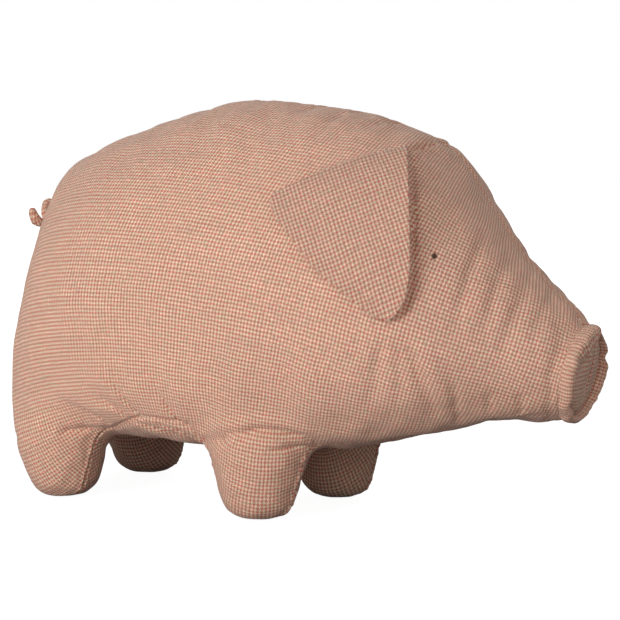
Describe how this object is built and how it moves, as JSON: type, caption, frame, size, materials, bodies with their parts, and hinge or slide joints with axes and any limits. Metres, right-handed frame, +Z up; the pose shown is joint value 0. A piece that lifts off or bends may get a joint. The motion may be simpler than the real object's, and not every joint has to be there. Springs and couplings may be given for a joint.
{
  "type": "plush pig",
  "caption": "Stuffed standing pig sewn from small-checked cotton, with flap ears that lift on their seams, a gathered snout and a curled tail that sways.",
  "frame": {"origin": "on the floor under the middle of the pig's whole length and width", "axes": "+X to the snout, +Y to the pig's left, +Z up"},
  "size_m": [0.475, 0.2116, 0.3],
  "materials": {
    "checked_cotton": "plain-woven cotton in a small rose, olive and cream check",
    "stuffing": "loose white polyester fibre",
    "eye_thread": "dark brown embroidery thread"
  },
  "bodies": {
    "body": {"side_panel_right": "checked_cotton", "side_panel_left": "checked_cotton", "belly_panel": "checked_cotton", "leg_front_right_cover": "checked_cotton", "leg_front_left_cover": "checked_cotton", "leg_rear_right_cover": "checked_cotton", "leg_rear_left_cover": "checked_cotton", "snout_cuff": "checked_cotton", "snout_disc": "checked_cotton", "torso_stuffing": "stuffing", "head_stuffing": "stuffing", "leg_front_right_stuffing": "stuffing", "leg_front_left_stuffing": "stuffing", "leg_rear_right_stuffing": "stuffing", "leg_rear_left_stuffing": "stuffing", "eye_right": "eye_thread", "eye_left": "eye_thread"},
    "ear_right": {"ear_right_outer": "checked_cotton", "ear_right_lining": "checked_cotton"},
    "ear_left": {"ear_left_outer": "checked_cotton", "ear_left_lining": "checked_cotton"},
    "tail": {"tail": "checked_cotton"}
  },
  "joints": [
    {"name": "ear_right_flap", "type": "hinge", "parent": "body", "child": "ear_right", "pos_m": [0.0695, -0.06934, 0.2589], "axis": [-0.8003, -0.5191, -0.3001], "range_deg": [0, 120]},
    {"name": "ear_left_flap", "type": "hinge", "parent": "body", "child": "ear_left", "pos_m": [0.0695, 0.06934, 0.2589], "axis": [0.8003, -0.5191, 0.3001], "range_deg": [0, 120]},
    {"name": "tail_sway", "type": "hinge", "parent": "body", "child": "tail", "pos_m": [-0.21525, 0, 0.204], "axis": [0, 0, 1], "range_deg": [-40, 40], "stiffness_Nm_per_rad": 0.003}
  ]
}
